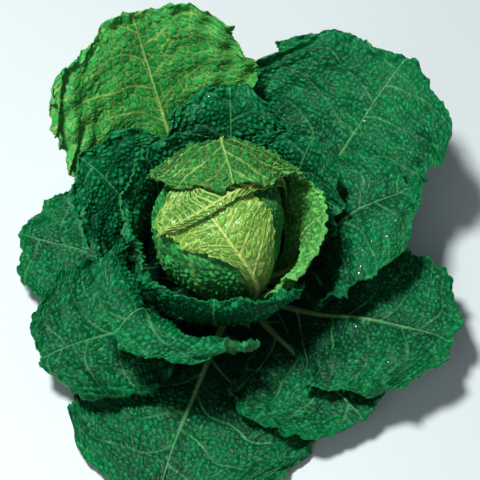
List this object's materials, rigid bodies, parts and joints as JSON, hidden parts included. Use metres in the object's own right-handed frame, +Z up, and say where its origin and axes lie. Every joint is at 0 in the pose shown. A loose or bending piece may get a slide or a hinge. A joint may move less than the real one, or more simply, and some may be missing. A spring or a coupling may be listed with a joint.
{
  "type": "savoy cabbage",
  "caption": "Whole savoy cabbage: a round blistered head on a short cut stem, in a wide rosette of crinkled dark green outer leaves.",
  "frame": {"origin": "middle of the stem's flat cut face, at the height of the surface it rests on", "axes": "+Z up the stem, +X to the right and +Y to the back as the picture shows the head"},
  "size_m": [0.4597, 0.4936, 0.2238],
  "materials": {
    "stem": "matte, moist",
    "heart_leaf": "waxy satin",
    "head_leaf": "waxy satin",
    "outer_leaf": "waxy satin",
    "bright_leaf": "waxy satin"
  },
  "bodies": {
    "root": {"stem": "stem", "heart": "head_leaf", "leaf_heart_front": "heart_leaf", "leaf_heart_fold": "heart_leaf", "leaf_head_back": "head_leaf", "leaf_head_right": "head_leaf", "leaf_head_front": "outer_leaf", "leaf_wrap_left": "outer_leaf", "leaf_wrap_back_right": "outer_leaf", "leaf_wrap_front_left": "outer_leaf", "leaf_wrap_far_left": "outer_leaf", "leaf_wrap_right": "outer_leaf", "leaf_outer_back_left": "bright_leaf", "leaf_outer_back_right": "outer_leaf", "leaf_outer_right": "outer_leaf", "leaf_outer_front_right": "outer_leaf", "leaf_outer_front": "outer_leaf", "leaf_outer_front_left": "outer_leaf", "leaf_outer_left": "outer_leaf", "leaf_wrap_back": "outer_leaf"}
  },
  "joints": []
}
